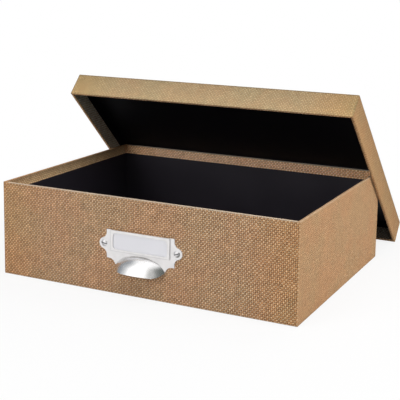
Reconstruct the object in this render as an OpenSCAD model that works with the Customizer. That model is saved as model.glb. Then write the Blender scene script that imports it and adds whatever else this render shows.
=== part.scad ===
// Document box covered in woven fabric, with a loose telescoping lid.
// The lid is drawn off the box, standing behind it and leaning on its rear top edge.
// Millimetres, +Z up, +Y towards the back. The origin is the centre of the underside of the box.

/* [Box] */
// Outside width of the box, left to right
box_width = 350; // [320:1:380]
// Outside depth of the box, front to back
box_depth = 265; // [240:1:300]
// Outside height of the box
box_height = 105; // [90:1:125]

/* [Board and covering] */
// Thickness of the greyboard
board_t = 2; // [1.5:0.1:3]
// Thickness of the fabric covering
cover_t = 0.5; // [0.4:0.05:0.8]
// Thickness of the paper lining
lining_t = 0.3; // [0.2:0.05:0.5]
// Depth of the fabric turned in over the rim of the box
turn_in = 15; // [12:0.5:25]
// How far the wall lining laps up over the turned-in fabric
lining_lap = 3.6; // [2:0.2:8]
// Width of the fabric turned under the box
turn_under = 15; // [8:1:30]
// Thickness of the base pad where it laps over the turned-under fabric
pad_t = 0.3; // [0.2:0.05:0.6]
// Distance from the outside of the box to the edge of the base pad
pad_inset = 4; // [2:0.5:7]
// Gap between the edge of the turned-under fabric and the thick middle of the base pad
pad_gap = 1; // [0.5:0.1:3]

/* [Lid] */
// Overall height of the lid
lid_height = 29; // [22:1:40]
// Gap on each side between the box and the lid when it is on
lid_gap = 1.2; // [0.6:0.1:2.5]
// Lean of the lid from lying flat, in degrees
lid_tilt = 43.4; // [36:0.1:52]
// Gap between the leaning lid and the edge it leans on
lean_gap = 0.3; // [0.1:0.05:0.5]
// How far the lid's lining laps down over the fabric inside its walls
lid_lap = 9.5; // [3:0.5:14]

/* [Label plate] */
// Height of the middle of the label plate above the table
plate_z = 54; // [50:0.5:65]
// Width of the plate between its upright edges
plate_width = 80.4; // [74:0.2:90]
// Height of the plate between its upper and lower corners
plate_height = 30.8; // [28:0.2:36]
// Thickness of the sheet metal
sheet_t = 0.8; // [0.5:0.1:1]
// How far each ear stands out past the upright edge
ear_reach = 9; // [8:0.1:11]
// Radius of each ear
ear_r = 6; // [5:0.1:7]
// Radius of the hollow curve above and below each ear
ear_hollow_r = 6.7; // [5:0.1:7.5]
// Depth of the two lower tips below the lower corners
tip_depth = 5.8; // [4:0.1:7]
// Radius of the hollow curve beside each lower tip
tip_hollow_r = 7.7; // [7.2:0.1:9]
// Distance from the upright edge to where that curve starts
tip_inset = 2.8; // [1:0.1:4]

/* [Card frame] */
// Width of the raised frame
frame_width = 70.6; // [66:0.2:72]
// Height of the raised frame
frame_height = 22.6; // [20:0.2:24.4]
// Width of the frame's border at the sides and the top
frame_border = 3; // [2:0.1:4]
// Width of the frame's border at the bottom
frame_sill = 2.2; // [1.6:0.1:3]
// Corner radius of the window
window_r = 4; // [1:0.1:6]
// Thickness of the label card
card_t = 0.5; // [0.3:0.05:0.8]
// Gap all round the card in its pocket
card_gap = 0.3; // [0.2:0.05:0.4]

/* [Finger pull] */
// Width of the pull where it meets the plate
pull_width = 62; // [57:0.2:64]
// How far the pull stands out from the plate
pull_depth = 15; // [13:0.5:20]
// Height from where the pull is deepest up to the top of its arch
pull_rise = 16.2; // [14:0.1:18]
// Radius of the pull's side profile
pull_arc_r = 23.5; // [20:0.5:28]
// Height of the pull at the plate
pull_height = 20.4; // [19:0.1:23]
// Slope of the lip, rising outwards, in degrees
lip_slope = 12.5; // [8:0.1:18]
// Radius of the lip's lower corners
lip_corner_r = 14; // [8:0.5:18]
// Gap between the top of the arch and the card frame
pull_gap = 1.7; // [0.4:0.1:2.5]

/* [Screws] */
// Radius of the screw heads
head_r = 3.6; // [3:0.1:4.2]
// Height of the domed screw heads
head_h = 1.3; // [0.9:0.1:1.8]
// Width of the screwdriver slot
slot_w = 1.2; // [0.6:0.1:1.6]
// Depth of the screwdriver slot
slot_d = 0.6; // [0.4:0.1:0.8]
// Radius of the screw shanks
shank_r = 1.5; // [1.2:0.1:2]
// Gap round each shank in its holes
shank_gap = 0.05; // [0.02:0.01:0.1]
// Radius of the flat nuts inside the box
nut_r = 4.5; // [3.5:0.1:6]
// Thickness of the nuts
nut_t = 1; // [0.8:0.1:2]

/* [Hidden] */
$fn = 64;
over = 1; // overshoot of a cut past the face it cuts
wall_t = board_t + 2 * cover_t; // rim thickness of box and lid

// Box levels and half sizes
half_w = box_width / 2;
half_d = box_depth / 2;
board_z = pad_t + cover_t; // underside of the base board
floor_z = board_z + board_t; // top of the base board
lining_z = floor_z + lining_t; // top of the floor lining
turn_in_z = box_height - turn_in; // lower edge of the turned-in fabric
lining_top_z = turn_in_z + lining_lap;
shell_t = cover_t + board_t; // outer face to inner face of a board
cover_r = 2 * cover_t; // outer radius of the fabric round the upright corners

// Lid sizes in its own frame: rim at 0, panel on top
lid_width = box_width + 2 * (lid_gap + wall_t);
lid_depth = box_depth + 2 * (lid_gap + wall_t);
lid_board_z = lid_height - shell_t; // underside of the top board
lid_under_z = lid_board_z - lining_t; // underside of the lid's lining
lid_lining_z = lid_board_z - lid_lap; // lower edge of the lining on the walls
// Where the lid's rear rim stands, so that its lining leans on the rear top edge of the box
lid_y = half_d + (box_height * cos(lid_tilt) - lid_under_z + lean_gap) / sin(lid_tilt);

// Label plate
plate_half = plate_width / 2;
plate_top = plate_z + plate_height / 2;
plate_bottom = plate_z - plate_height / 2;
ear_x = plate_half + ear_reach - ear_r;
hollow_x = plate_half + ear_hollow_r;
hollow_z = sqrt(pow(ear_hollow_r + ear_r, 2) - pow(hollow_x - ear_x, 2));
tip_x = plate_half - tip_inset;
frame_bottom = plate_top - frame_height;
pocket_half = frame_width / 2 - sheet_t;
pocket_bottom = frame_bottom + sheet_t;
pocket_depth = card_t + 2 * card_gap;
frame_foot_r = 1.5; // corner radius of the raised frame
card_r = 1; // corner radius of the card

// Finger pull: a curved profile turned about an upright axis behind the plate
pull_half = pull_width / 2;
pull_top = frame_bottom - pull_gap;
pull_lip_r = (pow(pull_half, 2) + pow(pull_depth, 2)) / (2 * pull_depth);
pull_axis = pull_lip_r - pull_depth;
pull_chord = norm([pull_depth, pull_rise]);
pull_sag = sqrt(pow(pull_arc_r, 2) - pow(pull_chord / 2, 2));
pull_arc_x = pull_axis + pull_depth / 2 - pull_sag * pull_rise / pull_chord;
pull_arc_z = pull_top - pull_rise / 2 - pull_sag * pull_depth / pull_chord;
lip_margin = 0.2; // how much wider than the pull the shape is that trims its lip
lip_half = pull_half + lip_margin;

// Screws
head_curve_r = (pow(head_r, 2) + pow(head_h, 2)) / (2 * head_h);
shank_hole_r = shank_r + shank_gap;
shank_end = head_h / 4; // how far a shank reaches up inside its head
grip_t = shell_t + lining_t; // cover, board and lining clamped by a screw
slot_angles = [-12, 20]; // of the left and the right screw, in degrees

fabric = [0.66, 0.53, 0.38];
greyboard = [0.56, 0.54, 0.5];
black_paper = [0.07, 0.07, 0.08];
nickel = [0.8, 0.8, 0.82];
card_white = [0.94, 0.94, 0.97];

// A block centred on X and Y, from z0 up to z1
module slab(w, d, z0, z1) {
    translate([-w / 2, -d / 2, z0])
        cube([w, d, z1 - z0]);
}

// A rectangle with round corners, centred
module round_rect(w, d, r) {
    square([w - 2 * r, d], center = true);
    square([w, d - 2 * r], center = true);
    for (x = [-1, 1], y = [-1, 1])
        translate([x * (w / 2 - r), y * (d / 2 - r)])
            circle(r = r);
}

// The skin of fabric outside the boards of a box w by d, with soft upright corners
module skin(w, d, z0, z1) {
    translate([0, 0, z0])
        linear_extrude(z1 - z0)
            difference() {
                round_rect(w, d, cover_r);
                square([w - 2 * cover_t, d - 2 * cover_t], center = true);
            }
}

// A flat or upright band that follows the walls, between two insets from the outside
module band(w, d, inset_out, inset_in, z0, z1) {
    difference() {
        slab(w - 2 * inset_out, d - 2 * inset_out, z0, z1);
        slab(w - 2 * inset_in, d - 2 * inset_in, z0 - over, z1 + over);
    }
}

// Front or rear board of a box w by d: side is -1 for the front, 1 for the rear
module cross_board(w, d, side, z0, z1) {
    translate([0, side * (d / 2 - shell_t + board_t / 2), 0])
        slab(w - 2 * cover_t, board_t, z0, z1);
}

// Left or right board, between the other two: side is -1 for the left, 1 for the right
module side_board(w, d, side, z0, z1) {
    translate([side * (w / 2 - shell_t + board_t / 2), 0, 0])
        slab(board_t, d - 2 * shell_t, z0, z1);
}

// Drawing plane on the front face: X right, Y up, Z out of the face
module on_front() {
    translate([0, -half_d, 0])
        rotate([90, 0, 0])
            children();
}

// Both screw positions, on the front face
module at_screws() {
    for (i = [0, 1])
        translate([(2 * i - 1) * ear_x, plate_z, 0])
            rotate([0, 0, slot_angles[i]])
                children();
}

// Holes for the screw shanks, right through the front wall
module shank_holes() {
    on_front()
        at_screws()
            translate([0, 0, -grip_t - over])
                cylinder(r = shank_hole_r, h = grip_t + sheet_t + 2 * over);
}

// Moves the lid from its own frame to where it leans
module lean() {
    translate([0, lid_y, 0])
        rotate([-lid_tilt, 0, 0])
            translate([0, -lid_depth / 2, 0])
                children();
}

module base_board() {
    color(greyboard)
        slab(box_width - 2 * cover_t, box_depth - 2 * cover_t, board_z, floor_z);
}

module front_board() {
    color(greyboard)
        difference() {
            cross_board(box_width, box_depth, -1, floor_z, box_height - cover_t);
            shank_holes();
        }
}

module rear_board() {
    color(greyboard)
        cross_board(box_width, box_depth, 1, floor_z, box_height - cover_t);
}

module left_board() {
    color(greyboard)
        side_board(box_width, box_depth, -1, floor_z, box_height - cover_t);
}

module right_board() {
    color(greyboard)
        side_board(box_width, box_depth, 1, floor_z, box_height - cover_t);
}

module box_cover() {
    color(fabric)
        difference() {
            union() {
                skin(box_width, box_depth, pad_t, box_height);
                band(box_width, box_depth, cover_t, wall_t, box_height - cover_t, box_height);
                band(box_width, box_depth, shell_t, wall_t, turn_in_z, box_height - cover_t);
                band(box_width, box_depth, cover_t, turn_under, pad_t, board_z);
            }
            shank_holes();
        }
}

module wall_lining() {
    color(black_paper)
        difference() {
            union() {
                band(box_width, box_depth, shell_t, shell_t + lining_t, lining_z, turn_in_z);
                band(box_width, box_depth, shell_t, wall_t + lining_t, turn_in_z - lining_t, turn_in_z);
                band(box_width, box_depth, wall_t, wall_t + lining_t, turn_in_z, lining_top_z);
            }
            shank_holes();
        }
}

module floor_lining() {
    color(black_paper)
        slab(box_width - 2 * shell_t, box_depth - 2 * shell_t, floor_z, lining_z);
}

module base_pad() {
    middle_inset = turn_under + pad_gap;
    color(black_paper) {
        slab(box_width - 2 * pad_inset, box_depth - 2 * pad_inset, 0, pad_t);
        slab(box_width - 2 * middle_inset, box_depth - 2 * middle_inset, 0, board_z);
    }
}

// Half of the plate's outline round one ear
module ear_outline() {
    translate([ear_x, plate_z])
        circle(r = ear_r);
    translate([0, plate_z])
        for (up = [-1, 1])
            difference() {
                polygon([[plate_half - over, 0], [ear_x, 0], [hollow_x, up * hollow_z],
                    [plate_half - over, up * hollow_z]]);
                translate([hollow_x, up * hollow_z])
                    circle(r = ear_hollow_r);
            }
}

module plate_outline() {
    translate([-plate_half, plate_bottom])
        square([plate_width, plate_height]);
    for (side = [0, 1])
        mirror([side, 0])
            ear_outline();
    difference() {
        translate([-tip_x, plate_bottom - tip_depth])
            square([2 * tip_x, tip_depth + over]);
        for (side = [-1, 1])
            translate([side * tip_x, plate_bottom - tip_hollow_r])
                circle(r = tip_hollow_r);
    }
}

// Outline of the raised frame, open at the top
module frame_outline() {
    half = frame_width / 2;
    difference() {
        translate([0, frame_bottom + frame_height / 2 + frame_foot_r])
            round_rect(frame_width, frame_height + 2 * frame_foot_r, frame_foot_r);
        translate([-half - over, plate_top])
            square([frame_width + 2 * over, 2 * frame_foot_r + over]);
    }
}

module window_outline() {
    w = frame_width - 2 * frame_border;
    h = frame_height - frame_border - frame_sill;
    translate([0, frame_bottom + frame_sill + h / 2])
        round_rect(w, h, window_r);
}

module label_plate() {
    color(nickel)
        difference() {
            on_front()
                difference() {
                    union() {
                        linear_extrude(sheet_t)
                            plate_outline();
                        linear_extrude(pocket_depth + sheet_t)
                            frame_outline();
                    }
                    translate([-pocket_half, pocket_bottom, -over])
                        cube([2 * pocket_half, frame_height, pocket_depth + over]);
                    linear_extrude(pocket_depth + sheet_t + over)
                        window_outline();
                }
            shank_holes();
            pull_turned(pull_arc_r - sheet_t);
        }
}

// The pull's side profile, filled in and turned about the upright axis
module pull_turned(r) {
    translate([0, pull_axis - sheet_t - half_d, 0])
        rotate_extrude()
            pull_profile(r);
}

module pull_profile(r) {
    intersection() {
        translate([pull_arc_x, pull_arc_z])
            circle(r = r);
        translate([0, pull_arc_z])
            square(2 * pull_arc_r);
    }
}

// The shape that trims the pull's lip: level in the middle, round at the corners
module lip_trim() {
    on_front()
        translate([0, pull_top - pull_height, sheet_t])
            rotate([-lip_slope, 0, 0])
                translate([0, pull_height, -pull_depth])
                    linear_extrude(4 * pull_depth)
                        round_rect(2 * lip_half, 2 * pull_height, lip_corner_r);
}

module cup_pull() {
    color(nickel)
        intersection() {
            difference() {
                pull_turned(pull_arc_r);
                pull_turned(pull_arc_r - sheet_t);
            }
            on_front()
                translate([-pull_width, 0, sheet_t])
                    cube([2 * pull_width, pull_top + over, 2 * pull_depth]);
            lip_trim();
        }
}

module screws() {
    color(nickel)
        on_front()
            at_screws() {
                difference() {
                    translate([0, 0, sheet_t + head_h - head_curve_r])
                        rotate_extrude()
                            intersection() {
                                circle(r = head_curve_r);
                                translate([0, head_curve_r - head_h])
                                    square(head_curve_r);
                            }
                    translate([-head_r - over, -slot_w / 2, sheet_t + head_h - slot_d])
                        cube([2 * (head_r + over), slot_w, slot_d + over]);
                }
                translate([0, 0, -grip_t - nut_t])
                    cylinder(r = shank_r, h = grip_t + nut_t + sheet_t + shank_end);
            }
}

module screw_nuts() {
    color(nickel)
        on_front()
            at_screws()
                translate([0, 0, -grip_t - nut_t])
                    difference() {
                        cylinder(r = nut_r, h = nut_t);
                        translate([0, 0, -over])
                            cylinder(r = shank_hole_r, h = nut_t + 2 * over);
                    }
}

module label_card() {
    w = 2 * (pocket_half - card_gap);
    h = plate_top - pocket_bottom - 2 * card_gap;
    color(card_white)
        on_front()
            translate([0, pocket_bottom + card_gap + h / 2, card_gap])
                linear_extrude(card_t)
                    round_rect(w, h, card_r);
}

module lid_top_board() {
    color(greyboard)
        lean()
            slab(lid_width - 2 * cover_t, lid_depth - 2 * cover_t, lid_board_z, lid_height - cover_t);
}

module lid_front_board() {
    color(greyboard)
        lean()
            cross_board(lid_width, lid_depth, -1, cover_t, lid_board_z);
}

module lid_rear_board() {
    color(greyboard)
        lean()
            cross_board(lid_width, lid_depth, 1, cover_t, lid_board_z);
}

module lid_left_board() {
    color(greyboard)
        lean()
            side_board(lid_width, lid_depth, -1, cover_t, lid_board_z);
}

module lid_right_board() {
    color(greyboard)
        lean()
            side_board(lid_width, lid_depth, 1, cover_t, lid_board_z);
}

module lid_cover() {
    color(fabric)
        lean() {
            skin(lid_width, lid_depth, 0, lid_height);
            slab(lid_width - 2 * cover_t, lid_depth - 2 * cover_t, lid_height - cover_t, lid_height);
            band(lid_width, lid_depth, cover_t, wall_t, 0, cover_t);
            band(lid_width, lid_depth, shell_t, wall_t, cover_t, lid_board_z);
        }
}

module lid_lining() {
    color(black_paper)
        lean() {
            slab(lid_width - 2 * wall_t, lid_depth - 2 * wall_t, lid_under_z, lid_board_z);
            band(lid_width, lid_depth, wall_t, wall_t + lining_t, lid_lining_z, lid_board_z);
        }
}

base_board();
front_board();
rear_board();
left_board();
right_board();
box_cover();
wall_lining();
floor_lining();
base_pad();
label_plate();
cup_pull();
screws();
screw_nuts();
label_card();
lid_top_board();
lid_front_board();
lid_rear_board();
lid_left_board();
lid_right_board();
lid_cover();
lid_lining();
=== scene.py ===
"""Document box: a board box wrapped in coarse canvas, with a label holder and cup pull on its
front and its loose lid leaning behind it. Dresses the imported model, piece by piece."""

import math

import bmesh
import bpy
from bpy.props import FloatProperty, FloatVectorProperty, PointerProperty
from mathutils import Matrix, Vector


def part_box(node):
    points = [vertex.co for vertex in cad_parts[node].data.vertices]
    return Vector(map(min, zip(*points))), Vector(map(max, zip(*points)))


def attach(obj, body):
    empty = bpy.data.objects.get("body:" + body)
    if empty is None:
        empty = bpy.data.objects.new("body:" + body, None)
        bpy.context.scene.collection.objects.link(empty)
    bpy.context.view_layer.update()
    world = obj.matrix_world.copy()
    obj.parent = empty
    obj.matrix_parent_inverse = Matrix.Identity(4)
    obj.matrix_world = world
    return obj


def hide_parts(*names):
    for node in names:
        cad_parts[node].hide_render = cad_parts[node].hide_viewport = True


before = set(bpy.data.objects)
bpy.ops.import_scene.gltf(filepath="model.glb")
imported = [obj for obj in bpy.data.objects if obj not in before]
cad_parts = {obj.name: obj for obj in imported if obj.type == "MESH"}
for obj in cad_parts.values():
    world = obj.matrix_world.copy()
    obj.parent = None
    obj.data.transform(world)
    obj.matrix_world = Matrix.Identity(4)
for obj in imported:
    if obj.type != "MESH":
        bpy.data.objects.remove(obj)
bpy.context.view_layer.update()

bl_info = {
    "name": "Document Box",
    "version": (1, 0, 0),
    "blender": (4, 5, 0),
    "location": "View3D > Sidebar > Document Box",
    "description": "Canvas covered document box with a loose lid, a label holder and a cup pull",
    "category": "Add Mesh",
}

BOX_LOW, BOX_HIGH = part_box("box_cover")
LID_LOW, LID_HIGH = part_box("lid_cover")
BOARD_COUNT = 10
MM = 0.001
SAME_PLACE = 0.1 * MM

WHITE = (1.0, 1.0, 1.0)

# What polished metal mirrors of the studio, by compass direction: 0 degrees is straight in front
# of the box and 90 is at its right. Each colour blends into the next, and all into the ceiling.
STUDIO_WALLS = (
    (-180.0, (0.4, 0.42, 0.45)),
    (-80.0, (0.3, 0.33, 0.36)),
    (-60.0, (0.75, 0.76, 0.78)),
    (-48.0, (1.4, 1.4, 1.4)),
    (6.0, (1.4, 1.4, 1.4)),
    (20.0, (0.5, 0.5, 0.49)),
    (30.0, (0.7, 0.7, 0.69)),
    (45.0, (0.22, 0.23, 0.22)),
    (70.0, (0.11, 0.125, 0.115)),
    (110.0, (0.2, 0.21, 0.21)),
    (135.0, (1.2, 1.2, 1.2)),
    (165.0, (1.2, 1.2, 1.2)),
    (180.0, (0.4, 0.42, 0.45)),
)
STUDIO_CEILING = (1.25, 1.25, 1.26)
PULL_PLACE = (0.0, -0.14, 0.03)

# Each lamp: its name, its place, the side of its square, and the studio setting with its watts.
LAMPS = (
    ("key_lamp", (1.15, -0.75, 0.95), 0.9, "key"),
    ("right_lamp", (1.5, 0.1, 0.7), 0.9, "right"),
    ("front_lamp", (-0.75, -1.5, 0.75), 0.9, "front"),
    ("top_lamp", (0.1, -0.5, 1.5), 1.2, "top"),
    ("rear_lamp", (0.3, 0.9, 1.3), 0.9, "rear"),
)

# The lamps point at the aim. The camera looks down over it from the front right: it is turned
# round the box, raised and rolled by these radians, and it stands this many metres to its own
# right, up and back from the aim.
AIM = Vector((0, 0, 0.08))
CAMERA_TURN = 0.458443
CAMERA_RISE = 0.158069
CAMERA_ROLL = 0.014222
CAMERA_RIGHT = 0.002587
CAMERA_UP = 0.089298
CAMERA_BACK = 1.122829
CAMERA_SHIFT = -0.2
SENSOR_WIDTH = 36.0


def tone(red, green, blue):
    """A colour as it is seen on a screen, 0 to 255, turned into the linear one that shaders take."""
    return tuple(
        v / 12.92 if v <= 0.04045 else ((v + 0.055) / 1.055) ** 2.4
        for v in (red / 255, green / 255, blue / 255)
    )


def length(name, description, millimetres):
    """A length that the sidebar shows in scene units."""
    return FloatProperty(
        name=name,
        description=description,
        default=millimetres * MM,
        min=0.01 * MM,
        precision=5,
        subtype="DISTANCE",
        unit="LENGTH",
    )


def share(name, description, default):
    """A share from 0 to 1."""
    return FloatProperty(
        name=name, description=description, default=default, min=0.0, max=1.0, subtype="FACTOR"
    )


def power(name, description, default):
    """An amount of light."""
    return FloatProperty(name=name, description=description, default=default, min=0.0, max=100.0)


def colour(name, description, default, most=1.0):
    """A colour that the sidebar shows as a swatch."""
    return FloatVectorProperty(
        name=name, description=description, default=default, size=3, min=0.0, max=most, subtype="COLOR"
    )


def tint(name, description, default):
    """A colour that multiplies another; 1 leaves it as it is."""
    return colour(name, description, default, most=4.0)


# ---------------------------------------------------------------- sizes and colours


class BoxSizes(bpy.types.PropertyGroup):
    """Sizes of the canvas on the box."""

    wall: length("Wall", "Board with canvas on both faces", 3.0)
    canvas: length("Canvas", "Thickness of the glued canvas", 0.5)
    turn_in: length("Turn-in", "Canvas turned over the rim and down the inside", 15.0)
    turn_under: length("Turn-under", "Canvas turned under the base", 15.0)
    corner: length("Corner", "Outer radius of the canvas round an upright corner", 1.0)
    fold: length("Fold", "Radius of the canvas where it folds over a board edge", 0.45)


class LidSizes(bpy.types.PropertyGroup):
    """Sizes and lean of the lid."""

    width: length("Width", "Outer width", (LID_HIGH.x - LID_LOW.x) / MM)
    depth: length("Depth", "Outer depth", 273.4)
    height: length("Height", "Outer height of the lid's walls", 29.0)
    panel: length("Panel", "Top panel, board with canvas on its outer face", 2.5)
    lean: FloatProperty(
        name="Lean",
        description="How far the lid leans, from flat",
        default=math.radians(43.4),
        subtype="ANGLE",
        unit="ROTATION",
    )


class HolderSizes(bpy.types.PropertyGroup):
    """Sizes of the label holder and its screws."""

    frame_width: length("Frame Width", "Width of the raised card frame", 70.6)
    frame_height: length("Frame Height", "Height of the raised card frame", 22.6)
    frame_foot: length("Frame Foot", "Height of the frame's foot over the table", 46.8)
    head: length("Screw Head", "Radius of a screw's head", 3.6)
    slot: length("Slot", "Width of a screw's slot", 1.2)


class CanvasLook(bpy.types.PropertyGroup):
    """Threads and colours of the canvas, and the painted light and shade of its places."""

    warp_pitch: length("Warp pitch", "From one upright thread to the next", 2.04)
    weft_pitch: length("Weft pitch", "From one level thread to the next", 2.13)
    wander: length("Wander", "How far the threads stray from straight", 0.5)
    slant: share("Slant", "How far each float leans along the diagonal", 0.16)
    unevenness: share("Unevenness", "How much the threads differ from each other", 0.15)
    relief: length("Relief", "How far the threads stand up", 0.7)
    warp: colour("Warp", "Colour of the upright threads", tone(210, 182, 155))
    weft: colour("Weft", "Colour of the level threads", tone(187, 146, 108))
    gap: colour("Gap", "Colour between the threads", tone(86, 50, 29))
    olive: colour("Olive", "Tint of the greener patches", tone(248, 248, 240))
    rust: colour("Rust", "Tint of the redder patches", tone(255, 245, 235))
    warm: colour("Warm Ends", "Tint towards the left and right ends", tone(255, 247, 230))
    calm_ends: share("Calm Ends", "How much flatter the weave is on the ends of the box", 0.55)
    calm_lid: share("Calm Lid", "How much flatter the weave is on the walls of the lid", 0.6)
    rubbed: share("Rubbed Edges", "How far the box's folds are rubbed", 0.15)
    rubbed_colour: colour("Rubbed", "Colour of the rubbed folds", tone(222, 196, 160))
    # Painted highlight: a pale line along the fold over the rim of the box.
    rim: share("Rim Painted Highlight", "How pale the fold over the rim of the box is", 0.5)
    rim_highlight_colour: colour("Rim", "Colour of the fold over the rim of the box", tone(222, 211, 193))
    # Painted light: the canvas turned into the box is made paler all round, and paler again at the rear.
    painted_light_inside: share("Inside Painted Light", "How much paler the canvas turned into the box is", 0.9)
    rear_painted_light: tint("Rear Painted Light", "Tint of the canvas turned in at the rear", (1.36, 1.24, 1.26))
    folds: share("Dark Folds", "How dark the lid's folds are", 0.6)
    fold_colour: colour("Fold", "Colour of the lid's dark folds", tone(120, 98, 74))
    # Painted light and shade on the lid: a shade tint inside, shade on its short walls and light on its
    # long walls.
    lid_inside_painted_shade: tint("Lid Inside Painted Shade", "Tint of the canvas inside the lid", (0.8, 1.2, 1.9))
    lid_ends_painted_shade: tint("Lid Ends Painted Shade", "Tint of the short walls of the lid", (0.85, 0.84, 0.75))
    lid_walls_painted_light: tint("Lid Walls Painted Light", "Tint of the long walls of the lid", (1.07, 1.22, 1.16))


class PaperLook(bpy.types.PropertyGroup):
    """Colours of the papers, the card and the board."""

    lining: colour("Lining", "Black lining paper of the box", tone(37, 34, 40))
    # Painted shade: the lid's lining is the same black paper as the box's, painted darker for the shade
    # under the lid.
    lid_lining: colour("Lid Lining In Painted Shade", "Black lining paper of the lid", tone(11, 10, 13))
    base: colour("Base", "Black paper under the base", tone(30, 29, 32))
    card: colour("Card", "Label card", tone(223, 223, 228))
    board: colour("Board", "Greyboard inside the walls", tone(150, 146, 136))


class MetalLook(bpy.types.PropertyGroup):
    """Colour and finish of the nickel, and the painted shade in its creases and screw slots."""

    plate: colour("Plate", "Satin nickel of the label holder and screws", tone(224, 222, 222))
    pull: colour("Pull", "Polished nickel of the cup pull", tone(240, 239, 238))
    # Painted shade: colour put in the frame's step and in the screw slots.
    crease_painted_shade: colour("Crease Painted Shade", "Colour in creases and screw slots", tone(70, 70, 74))
    satin: share("Satin", "Roughness of the label holder", 0.36)
    polish: share("Polish", "Roughness of the cup pull", 0.24)


class StudioLook(bpy.types.PropertyGroup):
    """Camera and light."""

    ambient: power("Ambient", "Level of the room's light", 0.18)
    key: power("Key", "Watts of the lamp at the right front", 4.0)
    front: power("Front", "Watts of the lamp at the left front", 12.5)
    right: power("Right", "Watts of the lamp at the right", 15.0)
    top: power("Top", "Watts of the lamp overhead", 10.0)
    rear: power("Rear", "Watts of the lamp above and behind", 5.0)
    floor: colour("Floor", "Colour of the floor", tone(230, 230, 230))
    lens: FloatProperty(name="Lens", description="Focal length", default=87.673, min=1.0, unit="CAMERA")


class DocumentBox(bpy.types.PropertyGroup):
    """Everything that can be changed about the box."""

    box: PointerProperty(type=BoxSizes)
    lid: PointerProperty(type=LidSizes)
    holder: PointerProperty(type=HolderSizes)
    canvas: PointerProperty(type=CanvasLook)
    paper: PointerProperty(type=PaperLook)
    metal: PointerProperty(type=MetalLook)
    studio: PointerProperty(type=StudioLook)


def settings():
    """The settings of the box in this scene."""
    return bpy.context.scene.document_box


# ---------------------------------------------------------------- wiring shader nodes


class Wiring:
    """A node tree that is being wired. Values may be sockets or plain numbers."""

    def __init__(self, tree):
        self.tree = tree

    def feed(self, socket, value):
        """Links a socket, or sets its number or colour."""
        if isinstance(value, bpy.types.NodeSocket):
            self.tree.links.new(value, socket)
        elif socket.type == "RGBA" and len(value) == 3:
            socket.default_value = (*value, 1.0)
        else:
            socket.default_value = value

    def add(self, kind, fed=None, **options):
        """A new node, laid out in columns of five."""
        node = self.tree.nodes.new("ShaderNode" + kind)
        place = len(self.tree.nodes)
        node.location = (place // 5 * 220, -(place % 5) * 200)
        for name, value in options.items():
            setattr(node, name, value)
        for name, value in (fed or {}).items():
            self.feed(node.inputs[name], value)
        return node

    def math(self, operation, *values):
        node = self.add("Math", operation=operation)
        for socket, value in zip(node.inputs, values):
            self.feed(socket, value)
        return node.outputs[0]

    def opposite(self, value):
        """1 where a mask is 0."""
        return self.math("SUBTRACT", 1.0, value)

    def vector(self, operation, *values):
        node = self.add("VectorMath", operation=operation)
        sockets = [s for s in node.inputs if s.enabled]
        for socket, value in zip(sockets, values):
            self.feed(socket, value)
        return next(s for s in node.outputs if s.enabled)

    def parts(self, value):
        """The x, y and z of a vector."""
        return self.add("SeparateXYZ", {"Vector": value}).outputs

    def joined(self, x, y, z):
        return self.add("CombineXYZ", {"X": x, "Y": y, "Z": z}).outputs[0]

    def blend(self, amount, first, second, way="MIX"):
        """The first colour at 0, and the second, or what it makes of the first, at 1."""
        node = self.add("Mix", data_type="RGBA", blend_type=way)
        for socket, value in zip((node.inputs[0], node.inputs[6], node.inputs[7]), (amount, first, second)):
            self.feed(socket, value)
        return node.outputs[2]

    def tinted(self, colour, by, where=None):
        """A colour multiplied by another, all over or by a mask."""
        whole = self.blend(1.0, colour, by, "MULTIPLY")
        return whole if where is None else self.blend(where, colour, whole)

    def lit(self, colour, amount, where=None):
        """A colour made darker or lighter by an amount, all over or by a mask."""
        return self.tinted(colour, self.joined(amount, amount, amount), where)

    def ease(self, value, low, high, start=0.0, end=1.0, kind="SMOOTHSTEP"):
        """start where the value is low, end where it is high, and a smooth passage between."""
        node = self.add("MapRange", interpolation_type=kind)
        for socket, item in zip(node.inputs, (value, low, high, start, end)):
            self.feed(socket, item)
        return node.outputs[0]

    def swing(self, value, middle, amount, base):
        """base plus a share of how far a value lies from its middle."""
        return self.math("MULTIPLY_ADD", self.math("SUBTRACT", value, middle), amount, base)

    def noise(self, place, scale, detail=2.0, roughness=0.5, coloured=False):
        """Clouds, scale of them in a metre."""
        node = self.add(
            "TexNoise", {"Vector": place, "Scale": scale, "Detail": detail, "Roughness": roughness}
        )
        return node.outputs["Color" if coloured else 0]

    def placed(self, place, at=(0, 0, 0), turn=(0, 0, 0), size=(1, 1, 1)):
        """A place as seen from a frame that is moved, turned and scaled."""
        fed = {"Vector": place, "Location": at, "Rotation": turn, "Scale": size}
        return self.add("Mapping", fed, vector_type="TEXTURE").outputs[0]

    def effect(self, group, **fed):
        """A node group; an underscore in a name stands for a space."""
        node = self.add("Group", node_tree=group)
        for name, value in fed.items():
            self.feed(node.inputs[name.replace("_", " ")], value)
        return node.outputs


def effect_group(name, inputs, outputs):
    """Starts a node group with named sockets and gives its wiring, its inputs and its way out."""
    group = bpy.data.node_groups.new(name, "ShaderNodeTree")
    for way, sockets in (("INPUT", inputs), ("OUTPUT", outputs)):
        for label, kind in sockets.items():
            group.interface.new_socket(label, in_out=way, socket_type="NodeSocket" + kind)
    entry = group.nodes.new("NodeGroupInput")
    leave = group.nodes.new("NodeGroupOutput")
    leave.location = (2600, 0)
    return group, Wiring(group), entry.outputs, leave.inputs


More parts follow.
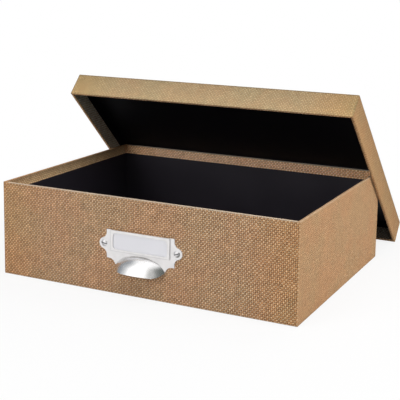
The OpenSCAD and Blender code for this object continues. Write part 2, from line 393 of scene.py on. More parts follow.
def plain_weave():
    """Over-and-under threads: round, slubby, twisted and a little wandering."""
    group, w, given, out = effect_group(
        "Plain weave",
        {
            "Cloth": "Vector",
            "Warp Pitch": "Float",
            "Weft Pitch": "Float",
            "Wander": "Float",
            "Slant": "Float",
            "Warp Colour": "Color",
            "Weft Colour": "Color",
            "Gap Colour": "Color",
            "Unevenness": "Float",
        },
        {"Colour": "Color", "Height": "Float"},
    )
    noise_reach = 2.4  # noise seldom strays more than 0.2 from its middle; this makes that a half
    seed_step, slubs_a_metre = 3.7, 110.0  # how unlike two threads are, and the slubs along one
    thinnest, slub_growth, slub_light = 0.66, 0.55, 1.8  # widths as shares of the pitch
    arch_bend, arch_rise, arch_low = 2.75, 0.68, 0.3  # the arch of a thread over a crossing
    twist_run, twist_lean, twist_depth = 9500.0, 5.0, 0.06  # radians a metre, their lean, relief
    mottle = 2.0  # how unlike neighbouring crossings are

    stray = w.vector("SUBTRACT", w.noise(given["Cloth"], 70.0, coloured=True), (0.5, 0.5, 0.5))
    reach = w.math("MULTIPLY", given["Wander"], noise_reach)
    cloth = w.vector("ADD", given["Cloth"], w.vector("MULTIPLY", stray, w.joined(reach, reach, reach)))
    x, y, _ = w.parts(cloth)
    warp = w.math("DIVIDE", x, given["Warp Pitch"])
    weft = w.math("DIVIDE", y, given["Weft Pitch"])
    warp_number, weft_number = w.math("FLOOR", warp), w.math("FLOOR", weft)
    warp_place = w.math("SUBTRACT", w.math("SUBTRACT", warp, warp_number), 0.5)
    weft_place = w.math("SUBTRACT", w.math("SUBTRACT", weft, weft_number), 0.5)
    over = w.math("FLOORED_MODULO", w.math("ADD", warp_number, weft_number), 2.0)

    crossing = w.add("TexWhiteNoise", {"Vector": w.joined(warp_number, weft_number, 0.0)}).outputs["Value"]
    mottled = w.math("MULTIPLY", w.math("SUBTRACT", crossing, 0.5), mottle)

    def thread(number, across, along, run, seed):
        """Height and lightness of one set of threads."""
        across = w.math("SUBTRACT", across, w.math("MULTIPLY", along, given["Slant"]))
        seeded = {"W": w.math("ADD", number, seed)}
        dyed = w.add("TexWhiteNoise", seeded, noise_dimensions="1D").outputs["Value"]
        spot = w.joined(w.math("MULTIPLY", number, seed_step), w.math("MULTIPLY", run, slubs_a_metre), seed)
        slub = w.noise(spot, 1.0)
        width = w.math("MULTIPLY_ADD", slub, slub_growth, thinnest)
        side = w.math("DIVIDE", w.math("ABSOLUTE", across), w.math("MULTIPLY", width, 0.5))
        round_top = w.math("SQRT", w.math("MAXIMUM", w.opposite(w.math("MULTIPLY", side, side)), 0.0))
        arch = w.math("COSINE", w.math("MULTIPLY", along, arch_bend))
        turns = w.math("MULTIPLY_ADD", across, twist_lean, w.math("MULTIPLY", run, twist_run))
        twist = w.math("MULTIPLY", w.math("SINE", turns), twist_depth)
        raised = w.math("ADD", w.math("MULTIPLY_ADD", arch, arch_rise, arch_low), twist)
        thick = w.math("MULTIPLY", w.math("SUBTRACT", slub, 0.5), slub_light)
        light = w.math("ADD", w.math("ADD", w.math("SUBTRACT", dyed, 0.5), thick), mottled)
        light = w.math("MULTIPLY_ADD", light, given["Unevenness"], w.math("ADD", 1.0, twist))
        return w.math("MULTIPLY", round_top, raised), light

    warp_height, warp_light = thread(warp_number, warp_place, weft_place, y, 0.31)
    weft_height, weft_light = thread(weft_number, weft_place, warp_place, x, 7.77)
    warp_shown = w.math("MULTIPLY", warp_height, over)
    weft_shown = w.math("MULTIPLY", weft_height, w.opposite(over))
    height = w.math("ADD", warp_shown, weft_shown)
    warp_colour = w.lit(given["Warp Colour"], warp_light)
    weft_colour = w.lit(given["Weft Colour"], weft_light)
    threads = w.blend(over, weft_colour, warp_colour)
    w.feed(out["Colour"], w.blend(w.ease(height, 0.09, 0.65), given["Gap Colour"], threads))
    w.feed(out["Height"], height)
    return group


def dye_patches():
    """Slow drift of the dye from olive to rust over a few centimetres, and warmer ends."""
    group, w, given, out = effect_group(
        "Dye patches",
        {"Place": "Vector", "Olive": "Color", "Rust": "Color", "Warm": "Color", "Half Width": "Float"},
        {"Tint": "Color"},
    )
    drift = w.noise(given["Place"], 26.0, detail=3.0, roughness=0.55)
    fine = w.noise(given["Place"], 160.0)
    patch = w.blend(w.ease(drift, 0.36, 0.64), given["Olive"], given["Rust"])
    along = w.math("DIVIDE", w.math("ABSOLUTE", w.parts(given["Place"])["X"]), given["Half Width"])
    patch = w.tinted(patch, given["Warm"], where=w.ease(along, 0.6, 0.99))
    w.feed(out["Tint"], w.lit(patch, w.swing(fine, 0.5, 0.24, 1.0)))
    return group


def folded_edges():
    """Mask along the twelve edges of a box, broken up as hands rub it."""
    group, w, given, out = effect_group(
        "Folded edges", {"Place": "Vector", "Half Size": "Vector", "Reach": "Float"}, {"Mask": "Float"}
    )
    inside = w.vector("SUBTRACT", given["Half Size"], w.vector("ABSOLUTE", given["Place"]))
    x, y, z = w.parts(w.vector("ABSOLUTE", inside))
    near = w.math("MAXIMUM", w.math("MINIMUM", x, y), w.math("MINIMUM", w.math("MAXIMUM", x, y), z))
    band = w.opposite(w.ease(w.math("DIVIDE", near, given["Reach"]), 0.2, 1.0))
    cloud = w.noise(given["Place"], 90.0, detail=3.0, roughness=0.6)
    worn = w.ease(cloud, 0.3, 0.62, start=0.45)
    w.feed(out["Mask"], w.math("MULTIPLY", band, worn))
    return group


def paper_fibres():
    """Short pressed fibres of paper and board, lying two ways."""
    group, w, given, out = effect_group(
        "Paper fibres", {"Place": "Vector", "Fibre Size": "Float"}, {"Height": "Float", "Flecks": "Float"}
    )
    scale = w.math("DIVIDE", 1.0, given["Fibre Size"])
    one, two = (
        w.noise(w.placed(given["Place"], turn=turn, size=size), scale, detail=3.0, roughness=0.6)
        for turn, size in (((0.3, 0.2, 0.6), (4, 1, 1)), ((0.2, 0.5, -0.9), (1, 4, 1)))
    )
    w.feed(out["Height"], w.math("MAXIMUM", one, two))
    w.feed(out["Flecks"], w.ease(w.math("MULTIPLY", one, two), 0.3, 0.42))
    return group


def brushed_lines():
    """Fine lines left by brushing the metal along its length, and faint smudges."""
    group, w, given, out = effect_group(
        "Brushed lines", {"Place": "Vector", "Line Width": "Float"}, {"Lines": "Float", "Smudge": "Float"}
    )
    scale = w.math("DIVIDE", 1.0, given["Line Width"])
    w.feed(out["Lines"], w.noise(w.placed(given["Place"], size=(60, 1, 1)), scale))
    w.feed(out["Smudge"], w.noise(given["Place"], 120.0, detail=3.0, roughness=0.55))
    return group


def studio_sides():
    """What polished metal mirrors of the studio, by compass direction: a wide white screen in front,
    a grey wall at the left and a dark one at the right."""
    group, w, given, out = effect_group("Studio sides", {"Direction": "Vector"}, {"Colour": "Color"})
    x, y, z = w.parts(w.vector("NORMALIZE", given["Direction"]))
    turned = w.math("DEGREES", w.math("ARCTAN2", x, w.math("MULTIPLY", y, -1.0)))
    ramp = w.add("ValToRGB", {"Fac": w.ease(turned, -180.0, 180.0, kind="LINEAR")})
    stops = ramp.color_ramp.elements
    for stop, (_, shade) in zip(stops, (STUDIO_WALLS[0], STUDIO_WALLS[-1])):
        stop.color = (*shade, 1.0)
    for degrees, shade in STUDIO_WALLS[1:-1]:
        stops.new((degrees + 180.0) / 360.0).color = (*shade, 1.0)
    w.feed(out["Colour"], w.blend(w.ease(z, 0.7, 0.98), ramp.outputs["Color"], STUDIO_CEILING))
    return group


EFFECTS = {}


def effect(make):
    """A node group, built once and shared by the materials that use it."""
    if make.__name__ not in EFFECTS:
        EFFECTS[make.__name__] = make()
    return EFFECTS[make.__name__]


# ---------------------------------------------------------------- materials


def finish_material(name, shown):
    """A new material: its wiring, and its shader. shown is its colour in the solid view."""
    material = bpy.data.materials.new(name)
    material.use_nodes = True
    material.diffuse_color = (*shown, 1.0)
    shader = material.node_tree.nodes["Principled BSDF"]
    shader.location = (1800, 0)
    material.node_tree.nodes["Material Output"].location = (2200, 0)
    return material, Wiring(material.node_tree), shader


def raise_surface(w, shader, height, distance):
    """Lets a height in 0 to 1 stand up by distance, in metres."""
    bump = w.add("Bump", {"Strength": 1.0, "Distance": distance, "Height": height})
    w.feed(shader.inputs["Normal"], bump.outputs["Normal"])


class CanvasPlaces:
    """Where a spot lies on a box that is wrapped in canvas, as distances and masks."""

    def __init__(self, w, held, half_size):
        """held is the spot in the box's own frame, which has the middle of the box at 0."""
        self.w = w
        self.held = held
        self.half_size = half_size
        self.x, self.y, self.z = w.parts(held)
        inside = w.vector("SUBTRACT", half_size, w.vector("ABSOLUTE", held))
        self.from_end, self.from_wall, self.from_level = w.parts(inside)
        self.at_end, self.at_wall = (
            w.ease(depth, 1.0 * MM, 0.2 * MM) for depth in (self.from_end, self.from_wall)
        )
        off_walls = w.ease(w.math("MINIMUM", self.from_end, self.from_wall), 2.0 * MM, 2.6 * MM)
        self.within = w.math("MULTIPLY", off_walls, w.ease(self.from_level, 0.6 * MM, 1.2 * MM))
        at_back = w.math("GREATER_THAN", self.y, half_size.y - 6.0 * MM)
        self.at_rear = w.math("MULTIPLY", self.within, at_back)

    def folds(self, reach):
        """The folds along the edges, as far as reach from each."""
        edges = self.w.effect(
            effect(folded_edges), Place=self.held, Half_Size=self.half_size, Reach=reach
        )
        return edges["Mask"]


def shade_box(w, look, places, shade):
    """The box's canvas: rubbed folds, painted light that makes the turn-in paler, most at the rear,
    painted shade on the left turn-in towards its rim, and a painted highlight as a pale line over
    the rim, fainter at the right and missing at the left."""
    left_painted_shade_at_rim, left_painted_shade_at_foot = 0.45, 1.25  # painted shade and light: lightness of the left turn-in at its rim and at its foot
    right_highlight_share = 0.3  # painted highlight: how pale the right rim is, of the others
    half_width = places.half_size.x
    at_left = w.math("LESS_THAN", places.x, 6.0 * MM - half_width)
    shade = w.blend(w.math("MULTIPLY", places.folds(1.4 * MM), look.rubbed), shade, look.rubbed_colour)
    # Painted light on the turn-in: paler all round the inside, and paler again at the rear.
    painted_light_inside = w.blend(1.0, shade, shade, "SCREEN")
    shade = w.blend(w.math("MULTIPLY", places.within, look.painted_light_inside), shade, painted_light_inside)
    shade = w.tinted(shade, look.rear_painted_light, where=places.at_rear)
    # Painted shade on the left turn-in, darkest at its rim, turning to painted light at its foot.
    turn_in = settings().box.turn_in
    depth = w.ease(places.from_level, 0.0, turn_in, left_painted_shade_at_rim, left_painted_shade_at_foot, kind="LINEAR")
    shade = w.lit(shade, depth, where=w.math("MULTIPLY", at_left, places.within))
    # Painted highlight: a pale line over the rim, fainter at the right and left out at the left, where the
    # rim is in shade.
    upper = w.math("GREATER_THAN", places.z, 0.0)
    pale = w.ease(
        places.x, half_width - 4.0 * MM, half_width - 3.0 * MM, look.rim, look.rim * right_highlight_share
    )
    pale = w.math("MULTIPLY", w.math("MULTIPLY", upper, w.opposite(at_left)), pale)
    line = w.opposite(w.ease(places.from_level, 0.4 * MM, 1.1 * MM))
    return w.blend(w.math("MULTIPLY", line, pale), shade, look.rim_highlight_colour)


def shade_lid(w, look, places, shade):
    """The lid's canvas: dark folds except at the rim, a painted shade tint inside, painted shade on
    the inner face of the rear wall and on the short walls, painted light on the long walls, and
    walls that get darker towards the top."""
    rear_wall_painted_shade = 0.35  # painted shade: lightness of the rear wall's inner face
    at_foot, at_top = 1.1, 0.84  # lightness of the walls
    top = places.half_size.z
    off_rim = w.ease(places.z, -top, 3.0 * MM - top, 0.0, look.folds)
    shade = w.blend(w.math("MULTIPLY", places.folds(2.4 * MM), off_rim), shade, look.fold_colour)
    # Painted shade: a grey shade tint inside the lid, and the rear wall's inner face darkened.
    shade = w.tinted(shade, look.lid_inside_painted_shade, where=places.within)
    shade = w.lit(shade, rear_wall_painted_shade, where=places.at_rear)
    # Painted shade on the short walls and painted light on the long walls.
    shade = w.tinted(shade, look.lid_ends_painted_shade, where=places.at_end)
    shade = w.tinted(shade, look.lid_walls_painted_light, where=places.at_wall)
    fade = w.ease(places.z, -top, top, at_foot, at_top, kind="LINEAR")
    return w.lit(shade, fade, where=w.math("MAXIMUM", places.at_end, places.at_wall))


def canvas_material(name, shade_places, centre, half_size, lean, calm):
    """Coarse canvas. centre, half_size and lean are those of the box that it wraps, calm is how
    much flatter the weave is on its short and its long walls, and shade_places gives the canvas
    the colours of its places, painted light and shade among them."""
    look = settings().canvas
    calm_colour, calm_relief = 0.67, -0.8  # what calm does to the threads' colour and height
    table_painted_shadow = 0.55  # painted contact shadow: lightness where the canvas meets the table
    material, w, shader = finish_material(name, look.warp)
    spot = w.add("TexCoord").outputs["Object"]
    places = CanvasPlaces(w, w.placed(spot, at=centre, turn=(-lean, 0, 0)), half_size)
    weave = w.effect(
        effect(plain_weave),
        Cloth=w.add("UVMap", uv_map="Cloth").outputs["UV"],
        Warp_Pitch=look.warp_pitch,
        Weft_Pitch=look.weft_pitch,
        Wander=look.wander,
        Slant=look.slant,
        Warp_Colour=look.warp,
        Weft_Colour=look.weft,
        Gap_Colour=look.gap,
        Unevenness=look.unevenness,
    )
    calm_ends, calm_walls = calm
    calmed = w.math(
        "MAXIMUM",
        w.math("MULTIPLY", places.at_end, calm_ends),
        w.math("MULTIPLY", places.at_wall, calm_walls),
    )
    mean = w.lit(w.blend(0.5, look.warp, look.weft), calm_colour)
    woven = w.blend(calmed, weave["Colour"], mean)
    dye = w.effect(
        effect(dye_patches),
        Place=places.held,
        Olive=look.olive,
        Rust=look.rust,
        Warm=look.warm,
        Half_Width=half_size.x,
    )
    shade = shade_places(w, look, places, w.tinted(woven, dye["Tint"]))
    # Painted contact shadow: the canvas darkens along its foot, where it meets the table.
    shade = w.lit(shade, w.ease(w.parts(spot)["Z"], 0.2 * MM, 1.6 * MM, start=table_painted_shadow))
    w.feed(shader.inputs["Base Color"], shade)
    w.feed(shader.inputs["Roughness"], w.ease(weave["Height"], 0.0, 1.0, 0.95, 0.74))
    shader.inputs["Specular IOR Level"].default_value = 0.2
    shader.inputs["Sheen Weight"].default_value = 0.12
    shader.inputs["Sheen Roughness"].default_value = 0.5
    shader.inputs["Sheen Tint"].default_value = (*look.warp, 1.0)
    stands = w.math("MULTIPLY", weave["Height"], w.math("MULTIPLY_ADD", calmed, calm_relief, 1.0))
    raise_surface(w, shader, stands, look.relief)
    return material


def paper_material(name, shade, fibre, roughness, tooth, fleck=None, grain=0.12, gloss=0.4):
    """Paper or board with pressed fibres. fibre and tooth are their size and height in
    millimetres, and fleck is the colour of stray ones."""
    material, w, shader = finish_material(name, shade)
    spot = w.add("TexCoord").outputs["Object"]
    fibres = w.effect(effect(paper_fibres), Place=spot, Fibre_Size=fibre * MM)
    cloud = w.noise(spot, 22.0, detail=3.0)
    lightness = w.swing(cloud, 0.5, grain * 2, 1.0)
    lightness = w.swing(fibres["Height"], 0.6, grain * 2, lightness)
    toned = w.lit(shade, lightness)
    if fleck is not None:
        toned = w.blend(w.math("MULTIPLY", fibres["Flecks"], 0.5), toned, fleck)
    w.feed(shader.inputs["Base Color"], toned)
    w.feed(shader.inputs["Roughness"], w.ease(cloud, 0.3, 0.7, roughness - 0.05, roughness + 0.05))
    shader.inputs["Specular IOR Level"].default_value = gloss
    raise_surface(w, shader, fibres["Height"], tooth * MM)
    return material


def nickel_material(name, shade, roughness, painted_shade_mask=None, metallic=1.0):
    """Nickel plate with brushing lines and faint smudges; the optional mask function paints shade into its
    creases and slots.
    """
    line_width, line_height = 0.12 * MM, 0.004 * MM
    unevenness = 0.12
    material, w, shader = finish_material(name, shade)
    spot = w.add("TexCoord").outputs["Object"]
    brushed = w.effect(effect(brushed_lines), Place=spot, Line_Width=line_width)
    plated = w.lit(shade, w.ease(brushed["Smudge"], 0.3, 0.7, 0.94, 1.02))
    # Painted shade in creases and slots, where the mask is given.
    if painted_shade_mask:
        plated = w.blend(painted_shade_mask(w, spot), plated, settings().metal.crease_painted_shade)
    w.feed(shader.inputs["Base Color"], plated)
    rough = w.swing(brushed["Lines"], 0.5, unevenness, roughness)
    w.feed(shader.inputs["Roughness"], w.swing(brushed["Smudge"], 0.5, unevenness, rough))
    shader.inputs["Metallic"].default_value = metallic
    raise_surface(w, shader, brushed["Lines"], line_height)
    return material


def frame_step_painted_shade(w, spot):
    """Painted shade along the step round the raised frame."""
    amount = 0.25
    sizes = settings().holder
    middle = (0.0, 0.0, sizes.frame_foot + sizes.frame_height / 2)
    x, _, z = w.parts(w.vector("ABSOLUTE", w.vector("SUBTRACT", spot, middle)))
    from_side = w.math("SUBTRACT", x, sizes.frame_width / 2)
    from_step = w.math("MAXIMUM", from_side, w.math("SUBTRACT", z, sizes.frame_height / 2))
    line = w.opposite(w.ease(w.math("ABSOLUTE", from_step), 0.2 * MM, 0.6 * MM))
    return w.math("MULTIPLY", line, amount)


def screw_slot_painted_shade(w, spot):
    """The two slots, with painted shade in them, at the angles they stopped at."""
    amount = 0.9
    left_angle, right_angle = math.radians(12.0), math.radians(-20.0)
    sizes = settings().holder
    low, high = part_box("screws")
    height = (low.z + high.z) / 2
    masks = []
    for side, angle in ((low.x + sizes.head, left_angle), (high.x - sizes.head, right_angle)):
        held = w.placed(spot, at=(side, 0.0, height), turn=(0.0, angle, 0.0))
        masks.append(w.math("LESS_THAN", w.math("ABSOLUTE", w.parts(held)["Z"]), sizes.slot / 2))
    return w.math("MULTIPLY", w.math("MAXIMUM", *masks), amount)


def studio_view(w, direction):
    """What the camera sees of the studio, white where it looks straight and the walls by way of
    metal, and a mask of the rays that see it."""
    ray = w.add("LightPath").outputs
    mirrored = w.effect(effect(studio_sides), Direction=direction)["Colour"]
    shown = w.blend(ray["Is Glossy Ray"], WHITE, mirrored)
    by_mirror = w.math("MAXIMUM", ray["Is Glossy Ray"], ray["Is Transmission Ray"])
    return shown, w.math("MAXIMUM", ray["Is Camera Ray"], by_mirror)


def floor_material(look):
    """A floor that is white to the camera and keeps the soft shadow round the box."""
    shadow_end, white_start, shadow_share = 0.26, 0.5, 0.86
    material, w, shader = finish_material("Pale floor", look.floor)
    spot = w.add("TexCoord").outputs["Object"]
    grain = w.ease(w.noise(spot, 300.0), 0.3, 0.7, start=0.985)
    w.feed(shader.inputs["Base Color"], w.lit(look.floor, grain))
    shader.inputs["Roughness"].default_value = 0.9
    shader.inputs["Specular IOR Level"].default_value = 0.1
    shown, seen = studio_view(w, w.vector("SUBTRACT", spot, PULL_PLACE))
    glow = w.add("Emission", {"Color": shown, "Strength": 1.0})
    away = w.ease(w.vector("LENGTH", spot), shadow_end, white_start, start=shadow_share)
    mixed = w.add("MixShader", {"Fac": w.math("MULTIPLY", seen, away)})
    w.feed(mixed.inputs[1], shader.outputs[0])
    w.feed(mixed.inputs[2], glow.outputs[0])
    w.feed(material.node_tree.nodes["Material Output"].inputs["Surface"], mixed.outputs[0])
    return material


# ---------------------------------------------------------------- shaping pieces


def choose(piece):
    """Makes a piece the only one that is selected, in object mode."""
    if bpy.context.object and bpy.context.object.mode != "OBJECT":
        bpy.ops.object.mode_set(mode="OBJECT")
    bpy.ops.object.select_all(action="DESELECT")
    piece.select_set(True)
    bpy.context.view_layer.objects.active = piece


def edit(piece, action):
    """Opens a piece alone in edit mode, with all of it selected or none of it."""
    choose(piece)
    bpy.ops.object.mode_set(mode="EDIT")
    bpy.ops.mesh.select_all(action=action)


def pick(piece, kind, test):
    """Selects the faces or the edges that pass the test."""
    bpy.ops.mesh.select_mode(type=kind)
    bpy.ops.mesh.select_all(action="DESELECT")
    shape = bmesh.from_edit_mesh(piece.data)
    found = [part for part in (shape.faces if kind == "FACE" else shape.edges) if test(part)]
    if not found:
        raise RuntimeError(f"{piece.name}: no {kind.lower()} is where it was looked for")
    for part in found:
        part.select_set(True)
    bmesh.update_edit_mesh(piece.data)


def merge_points(distance):
    """Merges the points of the open mesh that are closer than a distance."""
    bpy.ops.mesh.select_all(action="SELECT")
    bpy.ops.mesh.remove_doubles(threshold=distance)


def modify(piece, kind, **options):
    """Adds a modifier and applies it."""
    bpy.context.view_layer.objects.active = piece
    bpy.ops.object.modifier_add(type=kind)
    modifier = piece.modifiers[-1]
    for name, value in options.items():
        setattr(modifier, name, value)
    bpy.ops.object.modifier_apply(modifier=modifier.name)


def smooth(piece):
    """Smooth shading over the small folds, with the large faces kept flat."""
    choose(piece)
    bpy.ops.object.shade_smooth_by_angle(angle=math.radians(35.0))
    modify(piece, "WEIGHTED_NORMAL", keep_sharp=True, weight=60)


def put(piece, body, slot, material, *nodes):
    """Gives a finished piece its material and its body, and hides the nodes that it stands for. slot is not
    used.
    """
    piece.data.materials.clear()
    piece.data.materials.append(material)
    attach(piece, body)
    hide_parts(*nodes)


def paint(node, material):
    """Gives a CAD node that stays its material."""
    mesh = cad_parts[node].data
    mesh.materials.clear()
    mesh.materials.append(material)


def canvas_wrap(name, width, depth, low, high, opening, turned_in, turned_under=0.0):
    """One sheet of canvas wrapped round a box that is open upwards (1) or downwards (-1)."""
    sizes = settings().box
    facing_straight, sharp_fold, beside_wall = 0.9, 1.0, 1.5 * MM
    rim, closed = (high, low) if opening > 0 else (low, high)

    def at_side(point):
        return abs(point.x) > width / 2 - beside_wall or abs(point.y) > depth / 2 - beside_wall

    def upright(edge):
        a, b = (corner.co for corner in edge.verts)
        at_corner = abs(a.x) > width / 2 - SAME_PLACE and abs(a.y) > depth / 2 - SAME_PLACE
        return abs(a.z - b.z) > (high - low) / 2 and at_corner

    def folded(edge):
        a, b = (corner.co for corner in edge.verts)
        level = abs(a.z - b.z) < SAME_PLACE
        at_rim = abs(a.z - rim) < SAME_PLACE
        at_foot = abs(a.z - closed) < SAME_PLACE and at_side(a)
        return level and edge.calc_face_angle(0.0) > sharp_fold and (at_rim or at_foot)

    bpy.ops.object.select_all(action="DESELECT")
    bpy.ops.mesh.primitive_cube_add(
        size=1.0, location=(0, 0, (low + high) / 2), scale=(width, depth, high - low)
    )
    piece = bpy.context.object
    piece.name = piece.data.name = name
    bpy.ops.object.transform_apply(location=True, rotation=True, scale=True)
    edit(piece, "DESELECT")
    pick(piece, "FACE", lambda face: face.normal.z * opening > facing_straight)
    bpy.ops.mesh.inset(thickness=sizes.wall, depth=0.0)
    bpy.ops.mesh.extrude_region_move(TRANSFORM_OT_translate={"value": (0, 0, -opening * turned_in)})
    bpy.ops.mesh.delete(type="FACE")
    if turned_under:
        pick(piece, "FACE", lambda face: face.normal.z * opening < -facing_straight)
        bpy.ops.mesh.inset(thickness=turned_under, depth=0.0)
        bpy.ops.mesh.delete(type="FACE")
    pick(piece, "EDGE", upright)
    bpy.ops.mesh.bevel(offset=sizes.corner, segments=4, affect="EDGES")
    pick(piece, "EDGE", folded)
    bpy.ops.mesh.bevel(offset=sizes.fold, segments=3, affect="EDGES", clamp_overlap=True)
    merge_points(0.001 * MM)
    bpy.ops.mesh.normals_make_consistent(inside=False)
    bpy.ops.object.mode_set(mode="OBJECT")
    modify(piece, "SOLIDIFY", thickness=sizes.canvas, offset=-1.0, use_even_offset=True)
    lay_cloth(piece)
    return piece


def lay_cloth(piece):
    """Projects the cloth map on the piece from its six sides, in metres."""
    edit(piece, "SELECT")
    if not piece.data.uv_layers:
        bpy.ops.mesh.uv_texture_add()
    bpy.ops.uv.cube_project(cube_size=1.0)
    bpy.ops.object.mode_set(mode="OBJECT")
    piece.data.uv_layers.active.name = "Cloth"


def worked_copy(node, name, softened=0.0):
    """A merged and smoothed copy of a CAD node, with its edges eased by softened millimetres."""
    flat_angle, edge_angle = math.radians(0.6), math.radians(30.0)
    piece = bpy.data.objects.new(name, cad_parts[node].data.copy())
    bpy.context.scene.collection.objects.link(piece)
    edit(piece, "SELECT")
    merge_points(0.002 * MM)
    bpy.ops.mesh.dissolve_limited(angle_limit=flat_angle)
    if softened:
        pick(piece, "EDGE", lambda edge: edge.calc_face_angle(0.0) > edge_angle)
        bpy.ops.mesh.bevel(offset=softened * MM, segments=2, affect="EDGES", clamp_overlap=True)
        merge_points(0.004 * MM)
    smooth(piece)
    return piece


# ---------------------------------------------------------------- operators


class DOCUMENTBOX_OT_stage(bpy.types.Operator):
    """Set the pale floor, the soft lamps, the room and the camera"""

    bl_idname = "documentbox.stage"
    bl_label = "Stage"
    bl_options = {"REGISTER", "UNDO"}

    def execute(self, context):
        look = settings().studio
        self.lay_floor(look)
        self.light_room(context.scene, look)
        for name, place, size, setting in LAMPS:
            self.hang_lamp(name, Vector(place), size, getattr(look, setting))
        self.place_camera(context.scene, look)
        context.scene.view_settings.view_transform = "Standard"
        return {"FINISHED"}

    def lay_floor(self, look):
        """A wide floor, a little below the box."""
        bpy.ops.object.select_all(action="DESELECT")
        bpy.ops.mesh.primitive_plane_add(size=12.0, location=(0, 0, -0.2 * MM))
        floor = bpy.context.object
        floor.name = "floor"
        bpy.ops.object.transform_apply(location=True)
        edit(floor, "SELECT")
        bpy.ops.mesh.subdivide(number_cuts=3)
        bpy.ops.object.mode_set(mode="OBJECT")
        floor.data.materials.append(floor_material(look))

    def light_room(self, scene, look):
        """An even room, white where it is seen, with the studio's walls in metal."""
        world = bpy.data.worlds.new("Studio room")
        world.use_nodes = True
        scene.world = world
        w = Wiring(world.node_tree)
        backdrop = world.node_tree.nodes["Background"]
        backdrop.inputs["Color"].default_value = (*WHITE, 1.0)
        backdrop.inputs["Strength"].default_value = look.ambient
        shown, seen = studio_view(w, w.add("TexCoord").outputs["Object"])
        mixed = w.add("MixShader", {"Fac": seen})
        w.feed(mixed.inputs[1], backdrop.outputs[0])
        w.feed(mixed.inputs[2], w.add("Background", {"Color": shown}).outputs[0])
        w.feed(world.node_tree.nodes["World Output"].inputs["Surface"], mixed.outputs[0])

    def hang_lamp(self, name, place, size, watts):
        """A square soft lamp that points at the box."""
        bpy.ops.object.light_add(type="AREA", location=place)
        lamp = bpy.context.object
        lamp.name = name
        lamp.data.shape = "SQUARE"
        lamp.data.size = size
        lamp.data.energy = watts
        lamp.visible_glossy = False
        lamp.rotation_euler = (AIM - place).to_track_quat("-Z", "Y").to_euler()

    def place_camera(self, scene, look):
        """The camera stands at the front right, a little above the rim."""
        out = math.cos(CAMERA_RISE)
        back = Vector((math.sin(CAMERA_TURN) * out, -math.cos(CAMERA_TURN) * out, math.sin(CAMERA_RISE)))
        side = Vector((math.cos(CAMERA_TURN), math.sin(CAMERA_TURN), 0.0))
        top = back.cross(side)
        right = math.cos(CAMERA_ROLL) * side + math.sin(CAMERA_ROLL) * top
        up = -math.sin(CAMERA_ROLL) * side + math.cos(CAMERA_ROLL) * top
        place = AIM + CAMERA_RIGHT * right + CAMERA_UP * up + CAMERA_BACK * back
        rows = [[column[axis] for column in (right, up, back, place)] for axis in range(3)]
        data = bpy.data.cameras.new("camera")
        data.sensor_width = SENSOR_WIDTH
        data.lens = look.lens
        data.shift_y = CAMERA_SHIFT
        data.clip_start, data.clip_end = 0.05, 50.0
        camera = bpy.data.objects.new("camera", data)
        camera.matrix_world = Matrix([*rows, [0, 0, 0, 1]])
        scene.collection.objects.link(camera)
        scene.camera = camera


class DOCUMENTBOX_OT_box_canvas(bpy.types.Operator):
    """Wrap the box in one sheet of canvas, over the rim and under the base"""

    bl_idname = "documentbox.box_canvas"
    bl_label = "Box Canvas"
    bl_options = {"REGISTER", "UNDO"}

    def execute(self, context):
        sizes, look = settings().box, settings().canvas
        width, depth = BOX_HIGH.x - BOX_LOW.x, BOX_HIGH.y - BOX_LOW.y
        piece = canvas_wrap(
            "box_canvas", width, depth, BOX_LOW.z, BOX_HIGH.z, 1, sizes.turn_in, sizes.turn_under
        )
        smooth(piece)
        centre, half_size = (BOX_LOW + BOX_HIGH) / 2, (BOX_HIGH - BOX_LOW) / 2
        calm = (look.calm_ends, 0.0)
        material = canvas_material("Box canvas", shade_box, centre, half_size, 0.0, calm)
        put(piece, "box", "woven_fabric", material, "box_cover")
        return {"FINISHED"}


class DOCUMENTBOX_OT_lid_canvas(bpy.types.Operator):
    """Wrap the lid in one sheet of canvas, round the rim and up the inside of its walls"""

    bl_idname = "documentbox.lid_canvas"
    bl_label = "Lid Canvas"
    bl_options = {"REGISTER", "UNDO"}

    def execute(self, context):
        lid, look = settings().lid, settings().canvas
        piece = canvas_wrap("lid_canvas", lid.width, lid.depth, 0.0, lid.height, -1, lid.height - lid.panel)
        heel = LID_HIGH.y - lid.height * math.sin(lid.lean)
        tip = Matrix.Translation((0, heel, 0)) @ Matrix.Rotation(-lid.lean, 4, "X")
        lean = tip @ Matrix.Translation((0, -lid.depth / 2, 0))
        piece.matrix_world = lean
        choose(piece)
        bpy.ops.object.transform_apply(location=True, rotation=True, scale=True)
        smooth(piece)
        centre = lean @ Vector((0, 0, lid.height / 2))
        half_size = Vector((lid.width, lid.depth, lid.height)) / 2
        calm = (look.calm_lid, look.calm_lid)
        material = canvas_material("Lid canvas", shade_lid, centre, half_size, lid.lean, calm)
        put(piece, "lid", "woven_fabric", material, "lid_cover")
        return {"FINISHED"}


class DOCUMENTBOX_OT_linings(bpy.types.Operator):
    """Give the paper linings and the paper under the base their finish"""

    bl_idname = "documentbox.linings"
    bl_label = "Linings"
    bl_options = {"REGISTER", "UNDO"}

    def execute(self, context):
        look = settings().paper
        lining = paper_material(
            "Box lining", look.lining, fibre=0.5, roughness=0.45, tooth=0.03, fleck=tone(48, 46, 56)
        )
        # The lid's lining is painted darker, as painted shade under the lid.
        lid_lining = paper_material(
            "Lid lining",
            look.lid_lining,
            fibre=0.5,
            roughness=0.5,
            tooth=0.03,
            fleck=tone(34, 34, 42),
            gloss=0.1,
        )
        base = paper_material(
            "Base paper", look.base, fibre=0.7, roughness=0.75, tooth=0.05, fleck=tone(60, 58, 60)
        )
        paint("wall_lining", lining)
        paint("floor_lining", lining)
        paint("lid_lining", lid_lining)
        paint("base_pad", base)
        return {"FINISHED"}


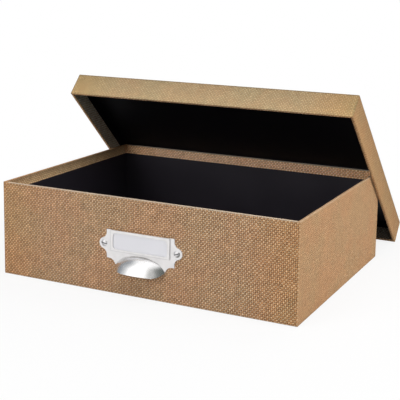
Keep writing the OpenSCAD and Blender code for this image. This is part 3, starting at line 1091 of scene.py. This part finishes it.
class DOCUMENTBOX_OT_boards(bpy.types.Operator):
    """Give the greyboard walls, base and lid boards their finish"""

    bl_idname = "documentbox.boards"
    bl_label = "Boards"
    bl_options = {"REGISTER", "UNDO"}

    def execute(self, context):
        greyboard = paper_material(
            "Greyboard",
            settings().paper.board,
            fibre=1.2,
            roughness=0.9,
            tooth=0.1,
            fleck=tone(96, 92, 86),
            grain=0.2,
        )
        boards = [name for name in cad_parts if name.endswith("_board")]
        if len(boards) != BOARD_COUNT:
            raise RuntimeError(f"{BOARD_COUNT} boards were looked for and {len(boards)} found")
        for node in boards:
            paint(node, greyboard)
        return {"FINISHED"}


class DOCUMENTBOX_OT_label_holder(bpy.types.Operator):
    """Make the label plate with its raised card frame, and the card in it"""

    bl_idname = "documentbox.label_holder"
    bl_label = "Label Holder"
    bl_options = {"REGISTER", "UNDO"}

    def execute(self, context):
        metal, paper = settings().metal, settings().paper
        plate = worked_copy("label_plate", "holder_plate", softened=0.12)
        satin = nickel_material("Satin nickel", metal.plate, metal.satin, frame_step_painted_shade, metallic=0.25)
        put(plate, "box", "nickel", satin, "label_plate")
        card = worked_copy("label_card", "blank_card", softened=0.06)
        stock = paper_material(
            "Label card", paper.card, fibre=0.3, roughness=0.6, tooth=0.01, grain=0.03
        )
        put(card, "card", "card", stock, "label_card")
        return {"FINISHED"}


class DOCUMENTBOX_OT_cup_pull(bpy.types.Operator):
    """Make the turned cup pull under the label plate"""

    bl_idname = "documentbox.cup_pull"
    bl_label = "Cup Pull"
    bl_options = {"REGISTER", "UNDO"}

    def execute(self, context):
        metal = settings().metal
        pull = worked_copy("cup_pull", "finger_pull")
        polished = nickel_material("Polished nickel", metal.pull, metal.polish)
        put(pull, "box", "nickel", polished, "cup_pull")
        return {"FINISHED"}


class DOCUMENTBOX_OT_fastenings(bpy.types.Operator):
    """Make the slotted screws and the nuts behind the front wall"""

    bl_idname = "documentbox.fastenings"
    bl_label = "Screws and Nuts"
    bl_options = {"REGISTER", "UNDO"}

    def execute(self, context):
        metal = settings().metal
        screws = worked_copy("screws", "slotted_screws", softened=0.05)
        slotted = nickel_material("Screw nickel", metal.plate, metal.satin, screw_slot_painted_shade)
        put(screws, "box", "nickel", slotted, "screws")
        nuts = worked_copy("screw_nuts", "flat_nuts", softened=0.08)
        plain = nickel_material("Nut nickel", metal.plate, roughness=0.45)
        put(nuts, "box", "nickel", plain, "screw_nuts")
        return {"FINISHED"}


STEPS = (
    DOCUMENTBOX_OT_stage,
    DOCUMENTBOX_OT_box_canvas,
    DOCUMENTBOX_OT_lid_canvas,
    DOCUMENTBOX_OT_linings,
    DOCUMENTBOX_OT_boards,
    DOCUMENTBOX_OT_label_holder,
    DOCUMENTBOX_OT_cup_pull,
    DOCUMENTBOX_OT_fastenings,
)
SETTINGS = (BoxSizes, LidSizes, HolderSizes, CanvasLook, PaperLook, MetalLook, StudioLook, DocumentBox)


class DOCUMENTBOX_PT_sidebar(bpy.types.Panel):
    """Steps, sizes and colours of the document box"""

    bl_label = "Document Box"
    bl_space_type = "VIEW_3D"
    bl_region_type = "UI"
    bl_category = "Document Box"

    def draw(self, context):
        steps = self.layout.column(align=True)
        for step in STEPS:
            steps.operator(step.bl_idname)
        for name in ("box", "lid", "holder", "canvas", "paper", "metal", "studio"):
            group = getattr(settings(), name)
            part = self.layout.box()
            part.label(text=name.capitalize())
            for setting in group.bl_rna.properties:
                if setting.identifier not in ("rna_type", "name"):
                    part.prop(group, setting.identifier)


def register():
    for kind in (*SETTINGS, *STEPS, DOCUMENTBOX_PT_sidebar):
        bpy.utils.register_class(kind)
    bpy.types.Scene.document_box = PointerProperty(type=DocumentBox)


def unregister():
    del bpy.types.Scene.document_box
    for kind in reversed((*SETTINGS, *STEPS, DOCUMENTBOX_PT_sidebar)):
        bpy.utils.unregister_class(kind)


def main():
    register()
    bpy.ops.object.select_all(action="DESELECT")
    bpy.ops.documentbox.stage()
    bpy.ops.documentbox.box_canvas()
    bpy.ops.documentbox.lid_canvas()
    bpy.ops.documentbox.linings()
    bpy.ops.documentbox.boards()
    bpy.ops.documentbox.label_holder()
    bpy.ops.documentbox.cup_pull()
    bpy.ops.documentbox.fastenings()


if __name__ == "__main__":
    main()
